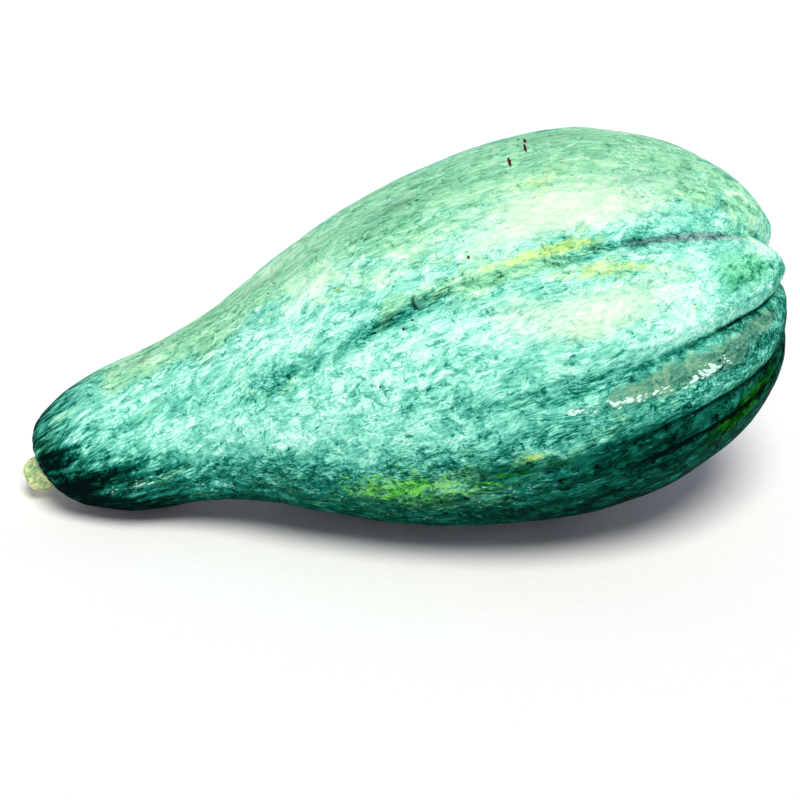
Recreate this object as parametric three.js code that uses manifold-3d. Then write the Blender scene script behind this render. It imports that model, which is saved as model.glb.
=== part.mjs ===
// Banana squash: one large winter squash lying on its side, and the cut stub of its stem.
// The fruit is pear-shaped. A narrow neck at -X carries the stem, and a lobed bulb at +X ends
// in the blossom end. Lengthwise furrows divide the bulb into lobes and fade out on the neck.
// Units are millimetres, +Z is up, and the origin is on the ground under the middle of the object.

import * as THREE from 'three';
import { mergeVertices } from 'three/addons/utils/BufferGeometryUtils.js';
import Module from 'manifold-3d';

// ---- Driving dimensions -------------------------------------------------------------------

// Length of the fruit along its own axis, from the stem end to the blossom end.
const LENGTH = 395;

// Outline of the fruit: [distance along the axis from the stem end, radius over the lobes].
const OUTLINE = [
  [0, 0], [1.5, 12.5], [7, 23.5], [17, 30.6], [40, 39], [75, 44.2], [105, 52.5], [140, 68],
  [180, 83.5], [220, 94], [263, 99.5], [303, 97.8], [335, 87.8], [361, 73.5], [380, 54],
  [391, 28], [395, 0],
];

// The axis rises from the neck to the bulb, because the narrow neck rests on the ground too.
const AXIS_RISE_DEG = 15;
const NECK_DROOP = 13;        // how far the stem end hangs below the straight axis
const NECK_DROOP_LENGTH = 165;
const BULB_DROOP = 8.8;       // how far the blossom end hangs below the straight axis
const NECK_BOW = 10;          // how far the stem end bends back, towards +Y
const BULB_BOW = 10;          // how far the blossom end bends back, towards +Y

// The stem end is slanted: its face looks down as well as outwards.
const NECK_SLANT = 0.2;
const NECK_SLANT_LENGTH = 55;

// Furrows between the lobes. Angles go round the axis in degrees: 0 is the front (-Y) and 90
// the top. `path` says where a furrow's middle lies, as [distance along, angle], and it swings
// smoothly from each place to the next. It begins at `from`, is fully deep at `full`, and is
// `width` degrees wide. Distances and depth are in millimetres.
const FURROWS = [
  {
    path: [[85, 29.5], [235, 46], [325, 50], [375, 47]],
    from: 105, full: 325, depth: 6, width: 7,
  },
  { path: [[115, 8], [290, 9.5], [385, 14]], from: 195, full: 345, depth: 6, width: 6 },
  { path: [[115, -18.5], [325, -13]], from: 215, full: 345, depth: 4, width: 5 },
  { path: [[115, -26], [325, -22]], from: 275, full: 365, depth: 1.2, width: 3 },
  { path: [[115, -62], [325, -60]], from: 175, full: 335, depth: 4, width: 7 },
  { path: [[115, -95], [325, -95]], from: 155, full: 335, depth: 5, width: 8 },
  { path: [[115, -128], [325, -130]], from: 145, full: 335, depth: 5.5, width: 8 },
  { path: [[115, -178], [325, -175]], from: 145, full: 335, depth: 5.5, width: 8 },
  { path: [[115, 138], [325, 135]], from: 145, full: 335, depth: 5, width: 8 },
];

// The furrows meet at the blossom scar, which sits off the axis, towards the back and down.
// They bend towards it within the `swing` distances, and close up within `fade` of it.
const SCAR = { front: -13, up: -3, swing: [325, 390], fade: [10, 38], fadeFrom: 245 };

// The front lobe and the one above it stand a little past the others at the blossom end.
const LOBE_TIPS = [
  { angle: 30, width: 24, height: 3, swing: [360, 387], radii: [4, 26] },
  { angle: 78, width: 20, height: 4, swing: [350, 382], radii: [8, 34] },
];

// The belly is flat where the fruit lay while it grew.
const BELLY_FLAT_DEPTH = 2.5;

// Cut stem stub, in its own frame: +Z is outwards, and 0 is the face of the stem end.
const STEM_SEAT_DEPTH = 3;
const STEM_HEIGHT = 12.5;
const STEM_BASE_RADIUS = 11;
const STEM_WAIST_RADIUS = 9;
const STEM_WAIST_HEIGHT = 4.4;
const STEM_TIP_RADIUS = 9.5;
const STEM_ROUNDING = 1.6;
const STEM_TILT = 0.25;       // leans down this much, as a slope
const STEM_GAP = 0.3;         // clearance between the stem and its seat in the fruit

// Mesh resolution.
const RINGS = 50;
const SEGMENTS = 64;
const STEM_SEGMENTS = 36;
const OUTLINE_DIVISIONS = 1200;   // how finely the outline's length is measured
const GROUND_THICKNESS = 100;     // of the block that cuts the belly flat

// ---- Small helpers ------------------------------------------------------------------------

const radians = THREE.MathUtils.degToRad;
const degrees = THREE.MathUtils.radToDeg;
const smoothstep = THREE.MathUtils.smoothstep;

// The difference between two angles, in degrees, brought into -180 to 180.
function angleBetween(a, b) {
  return THREE.MathUtils.euclideanModulo(a - b + 180, 360) - 180;
}

// A bell that is 1 at zero distance and falls away over `width`.
function bell(distance, width) {
  return Math.exp(-((distance / width) ** 2));
}

// ---- The fruit's surface ------------------------------------------------------------------

// The point of the fruit's axis at a distance from the stem end.
function axisPoint(along) {
  const fromMiddle = (along - LENGTH / 2) / (LENGTH / 2);
  const bow = (fromMiddle > 0 ? BULB_BOW : NECK_BOW) * Math.abs(fromMiddle) ** 3;
  const neckDroop = NECK_DROOP * Math.max(0, 1 - along / NECK_DROOP_LENGTH) ** 3;
  const bulbDroop = BULB_DROOP * Math.max(0, fromMiddle) ** 2;
  const rise = radians(AXIS_RISE_DEG);
  return new THREE.Vector3(
    along * Math.cos(rise),
    bow,
    along * Math.sin(rise) - neckDroop - bulbDroop,
  );
}

// The axis direction there, with the directions across it to the front and up.
function axisFrame(along) {
  const halfStep = 0.5;
  const direction = axisPoint(along + halfStep).sub(axisPoint(along - halfStep)).normalize();
  const front = direction.clone().cross(new THREE.Vector3(0, 0, 1)).normalize();
  const up = front.clone().cross(direction);
  return { direction, front, up };
}

// A place across the axis as seen from the blossom scar: its distance and angle.
function fromScar(along, radius, angle) {
  const pull = smoothstep(along, ...SCAR.swing);
  const front = radius * Math.cos(radians(angle)) - pull * SCAR.front;
  const up = radius * Math.sin(radians(angle)) - pull * SCAR.up;
  return { distance: Math.hypot(front, up), bearing: degrees(Math.atan2(up, front)) };
}

// The angle of a furrow's middle: a smooth swing from each place on its path to the next.
function furrowMiddle(path, along) {
  let middle = path[0][1];
  for (let next = 1; next < path.length; next += 1) {
    const [start, angle] = path[next - 1];
    const [end, nextAngle] = path[next];
    middle += (nextAngle - angle) * smoothstep(along, start, end);
  }
  return middle;
}

// How far the furrows sink the surface at a place on the fruit.
function furrowDepth(along, radius, angle) {
  const { distance, bearing } = fromScar(along, radius, angle);
  const fade = along > SCAR.fadeFrom ? smoothstep(distance, ...SCAR.fade) : 1;
  let depth = 0;
  for (const furrow of FURROWS) {
    const away = angleBetween(bearing, furrowMiddle(furrow.path, along));
    const strength = smoothstep(along, furrow.from, furrow.full) * fade;
    depth += furrow.depth * strength * bell(away, furrow.width);
  }
  return depth;
}

// How far the tips of the lobes stand out at a place on the fruit.
function lobeTipHeight(along, radius, angle) {
  let height = 0;
  for (const tip of LOBE_TIPS) {
    const near = smoothstep(along, ...tip.swing) * smoothstep(radius, ...tip.radii);
    height += tip.height * near * bell(angleBetween(angle, tip.angle), tip.width);
  }
  return height;
}

// One point of the skin: on the ring at a fraction of the outline's length, at an angle.
function skinPoint(outline, fraction, angle) {
  const [along, radius] = outline.getPointAt(fraction).toArray();
  const tangent = outline.getTangentAt(fraction);
  const lift = lobeTipHeight(along, radius, angle) - furrowDepth(along, radius, angle);
  const across = radius + lift * tangent.x;
  const slant = NECK_SLANT * (1 - smoothstep(along, 0, NECK_SLANT_LENGTH));
  const height = across * Math.sin(radians(angle));
  const forward = -lift * tangent.y - slant * height;
  const { direction, front, up } = axisFrame(along);
  return axisPoint(along)
    .addScaledVector(direction, forward)
    .addScaledVector(front, across * Math.cos(radians(angle)))
    .addScaledVector(up, height);
}

// The whole skin as a closed mesh: a pole, the rings between, and the other pole.
function fruitGeometry() {
  const outline = new THREE.SplineCurve(OUTLINE.map(([x, y]) => new THREE.Vector2(x, y)));
  outline.arcLengthDivisions = OUTLINE_DIVISIONS;
  const points = [axisPoint(0)];
  for (let ring = 1; ring < RINGS; ring += 1) {
    for (let segment = 0; segment < SEGMENTS; segment += 1) {
      points.push(skinPoint(outline, ring / RINGS, (360 * segment) / SEGMENTS));
    }
  }
  points.push(axisPoint(LENGTH));

  const triangles = [];
  const at = (ring, segment) => 1 + (ring - 1) * SEGMENTS + (segment % SEGMENTS);
  const lastPole = points.length - 1;
  for (let segment = 0; segment < SEGMENTS; segment += 1) {
    triangles.push(0, at(1, segment), at(1, segment + 1));
    triangles.push(lastPole, at(RINGS - 1, segment + 1), at(RINGS - 1, segment));
    for (let ring = 1; ring < RINGS - 1; ring += 1) {
      const [a, b] = [at(ring, segment), at(ring, segment + 1)];
      const [c, d] = [at(ring + 1, segment + 1), at(ring + 1, segment)];
      triangles.push(a, d, c, a, c, b);
    }
  }
  const geometry = new THREE.BufferGeometry().setFromPoints(points);
  geometry.setIndex(triangles);
  return geometry;
}

// ---- The stem stub ------------------------------------------------------------------------

// The stub as a turned solid. `grow` adds clearance all round, for cutting its seat.
function stemGeometry(grow = 0) {
  const base = -STEM_SEAT_DEPTH - grow;
  const tip = STEM_HEIGHT + grow;
  const profile = [
    [0, base],
    [STEM_BASE_RADIUS + grow, base],
    [STEM_BASE_RADIUS + grow, 0],
    [STEM_WAIST_RADIUS + grow, STEM_WAIST_HEIGHT],
    [STEM_TIP_RADIUS + grow, tip - STEM_ROUNDING],
    [STEM_TIP_RADIUS + grow - STEM_ROUNDING, tip],
    [0, tip],
  ];
  const turned = new THREE.LatheGeometry(
    profile.map(([x, y]) => new THREE.Vector2(x, y)),
    STEM_SEGMENTS,
  );
  turned.rotateX(Math.PI / 2);
  const outwards = stemDirection();
  const turn = new THREE.Quaternion().setFromUnitVectors(new THREE.Vector3(0, 0, 1), outwards);
  turned.applyQuaternion(turn);
  const seat = axisPoint(0);
  turned.translate(seat.x, seat.y, seat.z);
  return turned;
}

// The stub leaves the stem end along the axis and leans down a little.
function stemDirection() {
  const { direction, up } = axisFrame(0);
  return direction.negate().addScaledVector(up, -STEM_TILT).normalize();
}

// ---- Cutting with manifold-3d -------------------------------------------------------------

const wasm = await Module();
wasm.setup();

function toSolid(geometry) {
  const bare = geometry.clone();
  bare.deleteAttribute('normal');
  bare.deleteAttribute('uv');
  const merged = mergeVertices(bare);
  return new wasm.Manifold(new wasm.Mesh({
    numProp: 3,
    vertProperties: Float32Array.from(merged.attributes.position.array),
    triVerts: Uint32Array.from(merged.index.array),
  }));
}

function toGeometry(solid) {
  const mesh = solid.getMesh();
  const geometry = new THREE.BufferGeometry();
  geometry.setAttribute('position', new THREE.BufferAttribute(mesh.vertProperties, 3));
  geometry.setIndex(new THREE.BufferAttribute(mesh.triVerts, 1));
  geometry.computeVertexNormals();
  return geometry;
}

// A block of ground whose top is at a height, wide enough to reach under the whole fruit.
function groundBlock(top) {
  const side = LENGTH * 3;
  const block = new THREE.BoxGeometry(side, side, GROUND_THICKNESS);
  block.translate(0, 0, top - GROUND_THICKNESS / 2);
  return block;
}

// ---- The object ---------------------------------------------------------------------------

const rind = new THREE.MeshStandardMaterial({ color: '#63b08c', roughness: 0.55, metalness: 0 });
const cork = new THREE.MeshStandardMaterial({ color: '#c3cd8c', roughness: 0.85, metalness: 0 });
rind.name = 'rind';
cork.name = 'stem_cork';

const wholeFruit = fruitGeometry();
wholeFruit.computeBoundingBox();
const ground = wholeFruit.boundingBox.min.z + BELLY_FLAT_DEPTH;
const restingFruit = toSolid(wholeFruit)
  .subtract(toSolid(groundBlock(ground)))
  .subtract(toSolid(stemGeometry(STEM_GAP)));

const fruit = new THREE.Mesh(toGeometry(restingFruit), rind);
fruit.name = 'fruit';
const stem = new THREE.Mesh(mergeVertices(stemGeometry()), cork);
stem.name = 'stem';

const squash = new THREE.Group();
squash.name = 'banana_squash';
squash.add(fruit, stem);

// Stand the group on the ground, with the origin under the middle of its box.
const box = new THREE.Box3().setFromObject(squash);
const middle = box.getCenter(new THREE.Vector3());
squash.position.set(-middle.x, -middle.y, -ground);

export default squash;
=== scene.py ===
"""The looks of a banana squash lying on its side, and the cut stub of its stem.

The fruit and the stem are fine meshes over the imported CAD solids, worked out from the same
shape, with procedural materials. Shapes are worked out in millimetres and turned into metres
when a mesh is made. A place on the fruit is a distance in millimetres along the fruit's axis
from the stem end, and an angle in degrees round the axis, where 0 is the front (-Y), 90 the
top, 180 the back and -90 the belly.
"""

import math

import bpy
import numpy as np
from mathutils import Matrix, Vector, noise


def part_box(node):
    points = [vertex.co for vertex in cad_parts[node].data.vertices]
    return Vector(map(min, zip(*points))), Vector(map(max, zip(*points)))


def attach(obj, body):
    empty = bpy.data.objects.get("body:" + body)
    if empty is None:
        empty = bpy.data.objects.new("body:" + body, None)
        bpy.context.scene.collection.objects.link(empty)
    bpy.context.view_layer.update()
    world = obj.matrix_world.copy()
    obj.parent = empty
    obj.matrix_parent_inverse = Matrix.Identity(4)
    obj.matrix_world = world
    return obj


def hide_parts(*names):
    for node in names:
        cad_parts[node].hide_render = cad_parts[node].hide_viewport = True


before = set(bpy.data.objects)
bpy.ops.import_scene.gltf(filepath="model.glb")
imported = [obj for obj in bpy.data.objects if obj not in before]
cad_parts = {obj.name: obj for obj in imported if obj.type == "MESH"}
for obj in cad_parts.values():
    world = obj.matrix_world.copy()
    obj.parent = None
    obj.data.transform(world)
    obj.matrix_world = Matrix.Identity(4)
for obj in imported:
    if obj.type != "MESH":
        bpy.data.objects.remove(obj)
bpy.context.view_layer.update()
MM = 0.001

# ---- The fruit's shape, as in the CAD part (millimetres and degrees) ----

LENGTH = 395.0
# (distance along, radius)
OUTLINE = [
    (0, 0), (1.5, 12.5), (7, 23.5), (17, 30.6), (40, 39), (75, 44.2), (105, 52.5), (140, 68),
    (180, 83.5), (220, 94), (263, 99.5), (303, 97.8), (335, 87.8), (361, 73.5), (380, 54),
    (391, 28), (395, 0),
]
AXIS_RISE = math.radians(15.0)
NECK_DROOP = 13.0
NECK_DROOP_LENGTH = 165.0
BULB_DROOP = 8.8
NECK_BOW = 10.0
BULB_BOW = 10.0
NECK_SLANT = 0.2
NECK_SLANT_LENGTH = 55.0
BELLY_FLAT_DEPTH = 2.5

# Furrows between the lobes, from the upper one in front down and round to the back: the `path`
# of a furrow's middle as (along, angle) places, the `run` from its beginning to its full
# `depth`, and its half `width` in degrees. The rest is only in the looks: the depth of the
# crease pinched along the middle, its half width, and where it begins and is complete.
FURROW_VALUES = ("path", "run", "depth", "width", "crease", "pinch", "tight")
FURROW_ROWS = [
    ([(85, 29.5), (235, 46), (325, 50), (375, 47)], (105, 325), 6, 7, 0.9, 1.2, (265, 345)),
    ([(115, 8), (290, 9.5), (385, 14)], (195, 345), 6, 6, 1.5, 1.3, (285, 365)),
    ([(115, -18.5), (325, -13)], (215, 345), 4, 5, 1.0, 1.0, (265, 345)),
    ([(115, -26), (325, -22)], (275, 365), 1.2, 3, 0.8, 1.2, (275, 345)),
    ([(115, -62), (325, -60)], (175, 335), 4, 7, 1.2, 1.4, (275, 345)),
    ([(115, -95), (325, -95)], (155, 335), 5, 8, 1.3, 1.4, (270, 345)),
    ([(115, -128), (325, -130)], (145, 335), 5.5, 8, 1.5, 1.4, (260, 345)),
    ([(115, -178), (325, -175)], (145, 335), 5.5, 8, 1.6, 1.4, (255, 340)),
    ([(115, 138), (325, 135)], (145, 335), 5, 8, 1.5, 1.4, (250, 340)),
]
FURROWS = [dict(zip(FURROW_VALUES, row)) for row in FURROW_ROWS]
# The blossom scar, where the furrows gather: its place across the axis, the stretch along which
# they swing towards it, and the distances from it between which they fade in.
SCAR = dict(front=-13.0, up=-3.0, swing=(325, 390), fade=(10, 38), fade_from=245)
# Lobes that stand proud at the blossom end: `swing` is where along the fruit a tip rises, and
# `radii` the distances from the axis between which it does.
LOBE_TIPS = [
    dict(angle=30.0, width=24.0, height=3.0, swing=(360, 387), radii=(4, 26)),
    dict(angle=78.0, width=20.0, height=4.0, swing=(350, 382), radii=(8, 34)),
]

STEM_SEAT_DEPTH = 3.0
STEM_HEIGHT = 12.5
STEM_BASE_RADIUS = 11.0
STEM_WAIST_RADIUS = 9.0
STEM_WAIST_HEIGHT = 4.4
STEM_TIP_RADIUS = 9.5
STEM_TILT = 0.25  # how far it leans down, as a slope

# ---- Mesh fineness ----

RINGS = 310
SEGMENTS = 300
OUTLINE_STEPS = 80  # steps from one outline point to the next, to measure lengths by
AXIS_STEP = 0.5  # how far to each side the axis's direction is taken
CROWDING = 2.2  # how much closer the mesh lines run along a furrow
CROWDING_WIDTH = 0.7  # how wide that is, as a share of the furrow's width
CROWDING_ANGLES = 3601
RING_STEP = 1.6  # about how far apart the rings are
RAY_RADIUS = 28.0
END_CLOSING_RADIUS = 60.0
STEM_RINGS = 96
STEM_SEGMENTS = 120


# ---- Small helpers ----

def smoothstep(value, low, high):
    """0 below `low`, 1 above `high`, and smooth between."""
    share = np.clip((value - low) / (high - low), 0.0, 1.0)
    return share * share * (3.0 - 2.0 * share)


def bell(distance, width):
    """1 at distance 0, falling off smoothly to each side."""
    return np.exp(-((distance / width) ** 2))


def unit(vectors):
    """The same directions, each with a length of 1."""
    return vectors / np.linalg.norm(vectors, axis=-1, keepdims=True)


def turned(radius, turn, height):
    """Points round an upright axis: their distance from it, their turn and their height."""
    across = radius * np.cos(turn), radius * np.sin(turn)
    return np.stack(np.broadcast_arrays(*across, height), axis=-1)


def angle_between(a, b):
    """The difference of two angles in degrees, between -180 and 180."""
    return (a - b + 180.0) % 360.0 - 180.0


def noise_at(points, size, octaves=3):
    """Smooth noise from about -1 to 1 at an array of points, with features of this size."""
    flat = (points / size).reshape(-1, 3)
    values = [noise.fractal(Vector(p), 1.0, 2.0, octaves) for p in flat.tolist()]
    return np.array(values).reshape(points.shape[:-1])


# ---- The fruit's surface ----

def travelled_along(points):
    """The distance travelled from the first point to each one."""
    steps = np.hypot(*np.diff(points, axis=0).T)
    return np.concatenate([[0.0], np.cumsum(steps)])


def outline_rings(count):
    """Distance along, radius and tangent of the outline at equal steps of its length."""
    knots = np.array(OUTLINE, float)
    padded = np.vstack([knots[:1], knots, knots[-1:]])
    dense = []
    for span in range(len(knots) - 1):
        before, start, end, after = padded[span:span + 4]
        t = np.linspace(0.0, 1.0, OUTLINE_STEPS, endpoint=False)[:, None]
        slope_in = (end - before) / 2.0
        slope_out = (after - start) / 2.0
        dense.append((2 * start - 2 * end + slope_in + slope_out) * t**3
                     + (-3 * start + 3 * end - 2 * slope_in - slope_out) * t**2
                     + slope_in * t + start)
    dense = np.vstack(dense + [knots[-1:]])
    travelled = travelled_along(dense)
    wanted = np.linspace(0.0, travelled[-1], count + 1)
    slopes = unit(np.gradient(dense, travelled, axis=0))
    return [np.interp(wanted, travelled, column) for column in np.hstack([dense, slopes]).T]


def radius_at(along):
    """The outline's radius at a distance along the fruit."""
    places, radii = outline_rings(RINGS)[:2]
    return float(np.interp(along, places, radii))


def axis_point(along):
    """A point of the axis, which rises to the blossom end, droops at both ends and bows."""
    from_middle = (along - LENGTH / 2) / (LENGTH / 2)
    bow = np.where(from_middle > 0, BULB_BOW, NECK_BOW) * np.abs(from_middle) ** 3
    neck_droop = NECK_DROOP * np.maximum(0.0, 1.0 - along / NECK_DROOP_LENGTH) ** 3
    bulb_droop = BULB_DROOP * np.maximum(0.0, from_middle) ** 2
    height = along * math.sin(AXIS_RISE) - neck_droop - bulb_droop
    return np.stack([along * math.cos(AXIS_RISE), bow, height], axis=-1)


def axis_frame(along):
    """The axis direction, and the directions across it to the front and up."""
    direction = unit(axis_point(along + AXIS_STEP) - axis_point(along - AXIS_STEP))
    front = unit(np.cross(direction, [0.0, 0.0, 1.0]))
    return direction, front, np.cross(front, direction)


def furrow_middle(furrow, along):
    """The angle of a furrow's middle: a smooth swing from each place on its path to the next."""
    path = furrow["path"]
    middle = path[0][1]
    for (start, angle), (end, next_angle) in zip(path, path[1:]):
        middle = middle + (next_angle - angle) * smoothstep(along, start, end)
    return middle


def from_scar(along, radius, angle):
    """A place across the axis as seen from the blossom scar: its distance and angle."""
    pull = smoothstep(along, *SCAR["swing"])
    front = radius * np.cos(np.radians(angle)) - pull * SCAR["front"]
    up = radius * np.sin(np.radians(angle)) - pull * SCAR["up"]
    return np.hypot(front, up), np.degrees(np.arctan2(up, front))


class Places:
    """Every mesh point of the skin between the two poles, as arrays over rings and segments."""

    def __init__(self):
        columns = [values[1:-1, None] for values in outline_rings(RINGS)]
        self.along, self.radius, self.tangent_along, self.tangent_out = columns
        self.angle = np.array([crowded_angles(along) for along in self.along[:, 0]])
        distance, bearing = from_scar(self.along, self.radius, self.angle)
        self.from_scar = distance
        self.bearing = bearing
        fade = smoothstep(distance, *SCAR["fade"])
        self.far = self.along > SCAR["fade_from"]
        self.near_scar_fade = np.where(self.far, fade, 1.0)
        turn = np.radians(self.angle)
        self.straight = np.roll(turned(self.radius, turn, self.along), 1, axis=-1)
        # Height round the fruit, alike at the front and back: -90 is the belly, 90 the top. It
        # closes in on 0 at the blossom end, where top and belly meet.
        closing = smoothstep(self.radius, 0.0, END_CLOSING_RADIUS)
        self.level = np.degrees(np.arcsin(np.sin(turn) * np.where(self.far, closing, 1.0)))
        # The place with one radius all along, so that what runs lengthwise meets at both ends.
        path = np.arange(1, RINGS)[:, None] * RING_STEP
        rays = turned(RAY_RADIUS, np.radians(self.bearing), path)
        self.rays = np.roll(rays, 1, axis=-1)

    def from_furrow(self, furrow):
        """Degrees from a furrow's middle."""
        return angle_between(self.bearing, furrow_middle(furrow, self.along))

    def furrow_strength(self, furrow, run):
        """How much of a furrow, or of its tight crease, there is at each distance along."""
        return smoothstep(self.along, *furrow[run]) * self.near_scar_fade


def crowded_angles(along):
    """Angles of one ring's points, closer together along the furrows."""
    fine = np.linspace(0.0, 360.0, CROWDING_ANGLES)
    density = np.ones_like(fine)
    for furrow in FURROWS:
        strength = CROWDING * smoothstep(along, *furrow["run"])
        away = angle_between(fine, furrow_middle(furrow, along))
        density += strength * bell(away, furrow["width"] * CROWDING_WIDTH)
    total = np.concatenate([[0.0], np.cumsum((density[1:] + density[:-1]) / 2)])
    wanted = np.arange(SEGMENTS) / SEGMENTS * total[-1]
    return np.interp(wanted, total, fine)


def groove_depth(places, depth, width, run):
    """The depth of the furrows or of their creases. The last three are names in FURROW_VALUES."""
    total = 0.0
    for furrow in FURROWS:
        across = bell(places.from_furrow(furrow), furrow[width])
        total = total + furrow[depth] * places.furrow_strength(furrow, run) * across
    return total


def furrow_depth(places):
    return groove_depth(places, "depth", "width", "run")


def crease_depth(places):
    return groove_depth(places, "crease", "pinch", "tight")


def lobe_tip_height(places):
    height = 0.0
    for tip in LOBE_TIPS:
        near = smoothstep(places.along, *tip["swing"])
        near = near * smoothstep(places.radius, *tip["radii"])
        away = angle_between(places.angle, tip["angle"])
        height = height + tip["height"] * near * bell(away, tip["width"])
    return height


def skin_points(places, lift):
    """The skin in the axis's own frame, raised by `lift` along its normal."""
    across = places.radius + lift * places.tangent_along
    slant = NECK_SLANT * (1.0 - smoothstep(places.along, 0.0, NECK_SLANT_LENGTH))
    turn = np.radians(places.angle)
    height = across * np.sin(turn)
    forward = -lift * places.tangent_out - slant * height
    direction, front, up = axis_frame(places.along)
    return (axis_point(places.along)
            + direction * forward[..., None]
            + front * (across * np.cos(turn))[..., None]
            + up * height[..., None])


# ---- Relief that only the looks have ----

LUMP_SIZE = 55.0
LUMP_HEIGHT = 0.9
RIDGE_SIZE = 7.0
RIDGE_HEIGHT = 0.22
RIDGE_STRETCH = 0.2
NECK_RIBS = 26
NECK_RIB_HEIGHT = 0.25
NECK_RIB_REACH = (12.0, 75.0)
NECK_RIB_RADII = (9.0, 20.0)
NECK_RIB_WANDER = 150.0  # how far the ribs wind, in degrees of their own wave
NECK_RIB_WANDER_SIZE = 40.0
STEM_DIMPLE_DEPTH = 2.2
STEM_DIMPLE_RADII = (8.5, 17.0)
SCAR_RADIUS = 8.0
SCAR_RING = dict(height=0.9, width=1.8)
SCAR_HOLLOW = dict(depth=1.6, radius=3.0)
SCAR_STUB = dict(height=1.9, radius=2.2)
SCAR_PUCKER = dict(count=11, height=0.35, radius=12.0, width=6.0)


def lumps(places):
    """Gentle unevenness of the whole skin, and fine lengthwise ridges."""
    broad = LUMP_HEIGHT * noise_at(places.straight, LUMP_SIZE)
    stretched = places.straight * [RIDGE_STRETCH, 1.0, 1.0]
    return broad + RIDGE_HEIGHT * noise_at(stretched, RIDGE_SIZE)


def neck_ribs(places):
    """Ribs that run out from the stem over the end of the neck."""
    wander = NECK_RIB_WANDER * noise_at(places.straight, NECK_RIB_WANDER_SIZE, 2)
    wave = np.sin(np.radians(places.angle * NECK_RIBS + wander))
    fade = 1.0 - smoothstep(places.along, *NECK_RIB_REACH)
    return NECK_RIB_HEIGHT * wave * fade * smoothstep(places.radius, *NECK_RIB_RADII)


def stem_dimple(places):
    near = 1.0 - smoothstep(places.radius, *STEM_DIMPLE_RADII)
    return -STEM_DIMPLE_DEPTH * near * (places.along < LENGTH / 2)


def blossom_scar(places):
    """A shallow ring and a small stub where the flower fell off, with puckered skin around."""
    distance = places.from_scar
    ring = SCAR_RING["height"] * bell(distance - SCAR_RADIUS, SCAR_RING["width"])
    within = 1.0 - smoothstep(distance, SCAR_HOLLOW["radius"], SCAR_RADIUS)
    hollow = SCAR_HOLLOW["depth"] * within
    stub = SCAR_STUB["height"] * bell(distance, SCAR_STUB["radius"])
    wave = SCAR_PUCKER["height"] * np.sin(np.radians(places.bearing * SCAR_PUCKER["count"]))
    pucker = wave * bell(distance - SCAR_PUCKER["radius"], SCAR_PUCKER["width"])
    return np.where(places.far, ring - hollow + stub + pucker, 0.0)


def with_poles(grid):
    """A value per point of the grid, with the mean of the end rings at the two poles."""
    rows = grid.reshape(grid.shape[0], grid.shape[1], -1)
    values = np.vstack([rows[0].mean(0), rows.reshape(-1, rows.shape[-1]), rows[-1].mean(0)])
    return values if grid.ndim == 3 else values[:, 0]


# ---- Meshes ----

def wrapped_faces(rings, segments, closed=True):
    """Triangles at the first pole, quads between rings, and triangles at the last if closed."""
    at = 1 + np.arange(rings * segments).reshape(rings, segments)
    after = np.roll(at, -1, axis=1)
    faces = [(0, a, b) for a, b in zip(at[0].tolist(), after[0].tolist())]
    quads = np.stack([at[:-1], at[1:], after[1:], after[:-1]], axis=-1)
    faces += quads.reshape(-1, 4).tolist()
    if closed:
        last = rings * segments + 1
        faces += [(last, b, a) for a, b in zip(at[-1].tolist(), after[-1].tolist())]
    return faces


def bake_map(mesh, rings, segments):
    """Lays the skin out flat, along it one way and around it the other, face by face in the
    order of wrapped_faces."""
    side = np.arange(segments, dtype=float)[:, None]
    ring = np.arange(1, rings)[:, None, None]
    corners = [
        (np.array([0, 1, 1]), side + [0.5, 0, 1]),
        (ring + [0, 1, 1, 0], side + [0, 0, 1, 1]),
        (np.array([rings + 1, rings, rings]), side + [0.5, 1, 0]),
    ]
    flat = [np.stack(np.broadcast_arrays(*pair), axis=-1).reshape(-1, 2) for pair in corners]
    uv = np.vstack(flat) / [rings + 1, segments]
    mesh.uv_layers.new(name="OFBake").uv.foreach_set("vector", uv.astype(np.float32).ravel())


def add_object(name, data):
    made = bpy.data.objects.new(name, data)
    bpy.context.scene.collection.objects.link(made)
    return made


def mesh_object(name, points, faces):
    mesh = bpy.data.meshes.new(name)
    mesh.from_pydata((points * MM).tolist(), [], faces)
    mesh.validate()
    mesh.shade_smooth()
    return add_object(name, mesh)


def add_values(made, name, values):
    """Stores a number or a vector for each vertex, for the material to read."""
    kind, field = ("FLOAT_VECTOR", "vector") if values.ndim == 2 else ("FLOAT", "value")
    layer = made.data.attributes.new(name, kind, "POINT")
    layer.data.foreach_set(field, values.astype(np.float32).ravel())


# ---- Colour zones of the rind ----

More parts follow.
